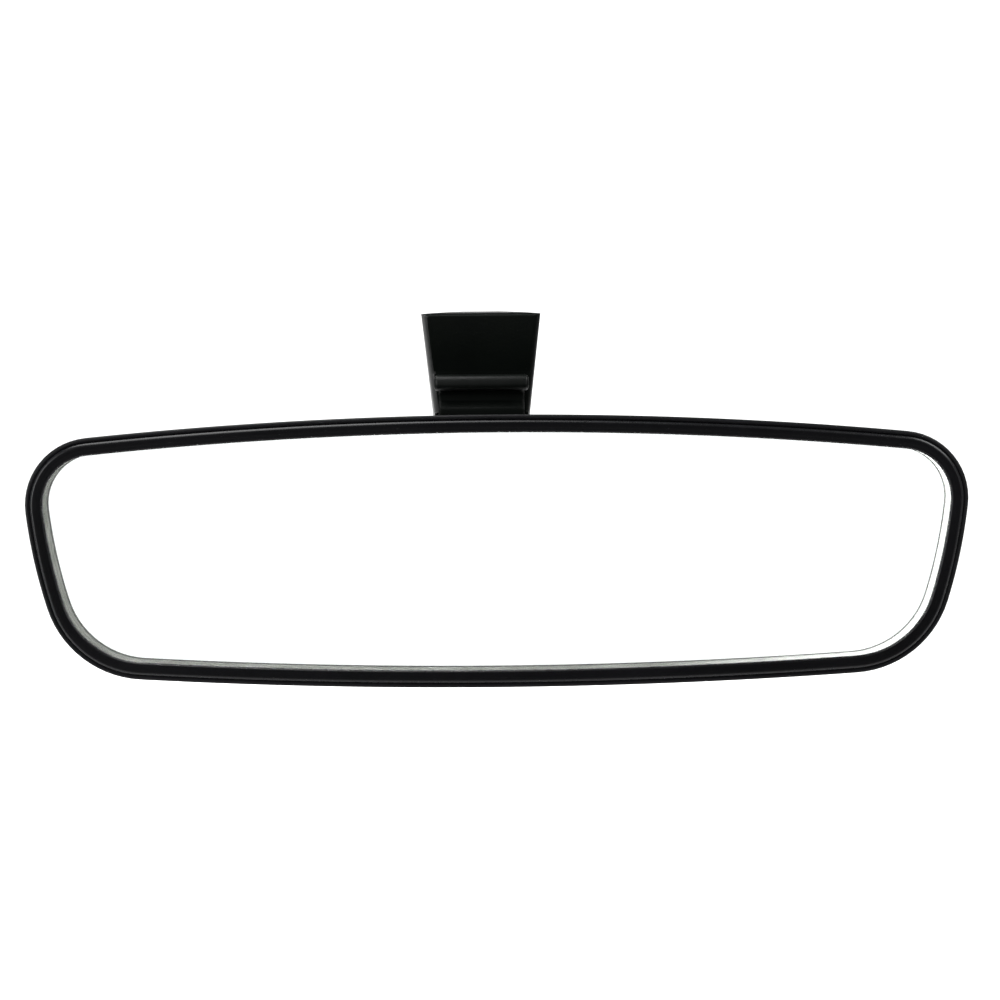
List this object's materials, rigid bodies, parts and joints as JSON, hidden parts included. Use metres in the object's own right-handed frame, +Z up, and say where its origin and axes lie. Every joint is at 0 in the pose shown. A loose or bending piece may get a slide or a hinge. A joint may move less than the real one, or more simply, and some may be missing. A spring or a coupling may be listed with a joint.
{
  "type": "interior rearview mirror",
  "caption": "Wide rounded interior rearview mirror in a slim black bezel, on a ball joint under a wedge foot that slides on a windscreen button.",
  "frame": {"origin": "centre of the foot's pad plane, which lies on the windscreen", "axes": "+X to the driver's right along the head's length, -Y the way the glass faces, +Z up"},
  "size_m": [0.25, 0.0748, 0.1004],
  "materials": {
    "glass": "clear, ground edge",
    "silver": "polished silver coat",
    "film": "thin backing film",
    "foam": "closed-cell foam tape",
    "carrier_plastic": "moulded, fine grain",
    "plated_steel": "zinc plated",
    "spring_steel": "hardened, dark",
    "acetal": "natural acetal",
    "bezel_plastic": "semi-gloss black",
    "shell_plastic": "fine-grained black",
    "foot_plastic": "fine-grained black",
    "casting": "black painted die casting",
    "gasket_rubber": "soft black foam rubber"
  },
  "bodies": {
    "foot": {"foot_housing": "foot_plastic", "neck_cover": "foot_plastic", "arm": "casting", "ball_stud": "plated_steel", "stud_nut": "plated_steel", "lock_washer": "spring_steel", "channel_plate": "plated_steel", "lock_spring": "spring_steel", "plate_screws": "plated_steel", "mount_gasket": "gasket_rubber"},
    "liner": {"ball_liner": "acetal"},
    "cup": {"pressure_cup": "acetal"},
    "head": {"mirror_glass": "glass", "silvering": "silver", "safety_film": "film", "foam_pads": "foam", "glass_carrier": "carrier_plastic", "carrier_screws": "plated_steel", "front_bezel": "bezel_plastic", "rear_shell": "shell_plastic", "ball_socket": "carrier_plastic", "disc_springs": "spring_steel", "spring_retainer": "plated_steel", "socket_screws": "plated_steel"}
  },
  "joints": [
    {"name": "head_yaw", "type": "hinge", "parent": "foot", "child": "liner", "pos_m": [0, -0.0274, -0.0456], "axis": [0, 0, 1], "range_deg": [-20, 20]},
    {"name": "head_pitch", "type": "hinge", "parent": "liner", "child": "cup", "pos_m": [0, -0.0274, -0.0456], "axis": [1, 0, 0], "range_deg": [-15, 15]},
    {"name": "head_roll", "type": "hinge", "parent": "cup", "child": "head", "pos_m": [0, -0.0274, -0.0456], "axis": [0, 1, 0], "range_deg": [-10, 10]}
  ]
}
